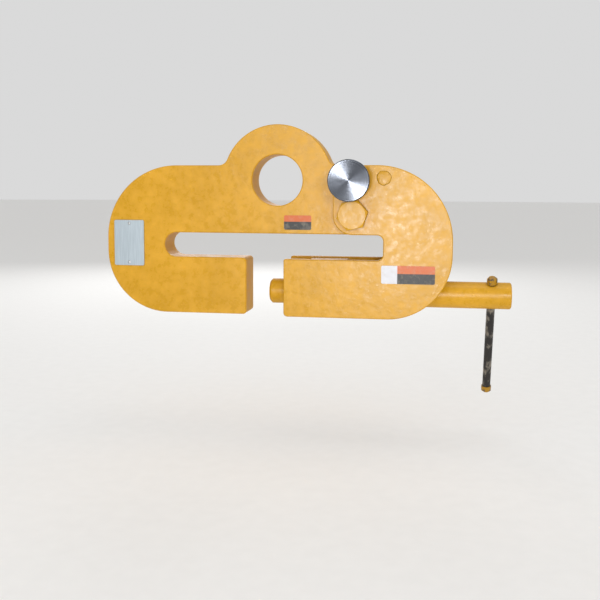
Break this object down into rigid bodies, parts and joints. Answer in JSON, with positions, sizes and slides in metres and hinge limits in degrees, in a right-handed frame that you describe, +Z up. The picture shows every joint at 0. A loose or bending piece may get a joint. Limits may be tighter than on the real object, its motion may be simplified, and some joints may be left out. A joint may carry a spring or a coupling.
{
  "type": "beam clamp",
  "caption": "Flat lifting beam clamp with a central lifting eye, a fixed jaw, a swinging jaw with a lock pin, and a clamping screw with a sliding tommy bar.",
  "frame": {"origin": "centre of the lifting eye, in the middle of the main plate's thickness", "axes": "+Z up, +X across the beam's flange towards the screw, front of the clamp faces -Y"},
  "size_m": [0.545, 0.1367, 0.3663],
  "materials": {
    "yellow_paint": "gloss yellow enamel over plate steel",
    "worn_yellow_paint": "yellow enamel worn through at the rims",
    "turned_steel": "bare steel, face turned",
    "greased_steel": "bare steel with a film of grease",
    "plated_steel": "zinc plated",
    "black_steel": "black oxide, scuffed",
    "bronze": "turned bronze",
    "tag_aluminium": "brushed, blank",
    "label_vinyl": "printed vinyl, blank",
    "rubber": "matt"
  },
  "bodies": {
    "main_frame": {"main_plate": "yellow_paint", "hinge_bush": "bronze", "rating_tag": "tag_aluminium", "tag_drive_screws": "plated_steel", "mouth_label": "label_vinyl"},
    "swinging_jaw": {"front_jaw_cheek": "yellow_paint", "rear_jaw_cheek": "yellow_paint", "spine_spacer": "yellow_paint", "nut_block": "yellow_paint", "lead_nut": "bronze", "guide_block": "yellow_paint", "hinge_bolt": "yellow_paint", "hinge_washer": "yellow_paint", "hinge_nut": "yellow_paint", "lock_pin_sleeve": "yellow_paint", "jaw_label": "label_vinyl"},
    "lock_plunger": {"lock_pin": "turned_steel", "lock_pin_knob": "turned_steel", "lock_pin_friction_ring": "rubber"},
    "web_pad": {"pressure_pad": "yellow_paint"},
    "screw": {"clamp_screw": "greased_steel", "drive_tube": "yellow_paint", "tube_roll_pin": "plated_steel", "tube_end_plug": "yellow_paint"},
    "handle": {"tommy_bar": "black_steel", "tommy_bar_top_cap": "worn_yellow_paint", "tommy_bar_bottom_cap": "worn_yellow_paint"}
  },
  "joints": [
    {"name": "jaw_swing", "type": "hinge", "parent": "main_frame", "child": "swinging_jaw", "pos_m": [0.102, 0, -0.045], "axis": [0, -1, 0], "range_deg": [0, 28]},
    {"name": "lock_pin_slide", "type": "slide", "parent": "swinging_jaw", "child": "lock_plunger", "axis": [0, 1, 0], "range_m": [0, 0.016]},
    {"name": "screw_feed", "type": "slide", "parent": "swinging_jaw", "child": "web_pad", "axis": [-1, 0, 0], "range_m": [-0.012, 0.024]},
    {"name": "screw_turn", "type": "hinge", "parent": "web_pad", "child": "screw", "pos_m": [0.2, 0, -0.15], "axis": [-1, 0, 0], "range_deg": [-720, 1440]},
    {"name": "tommy_bar_slide", "type": "slide", "parent": "screw", "child": "handle", "axis": [0, -0.3746, 0.9272], "range_m": [0, 0.125]}
  ],
  "couplings": [
    {"joint": "screw_feed", "follows": "screw_turn", "m_per_rad": 0.00095493}
  ]
}
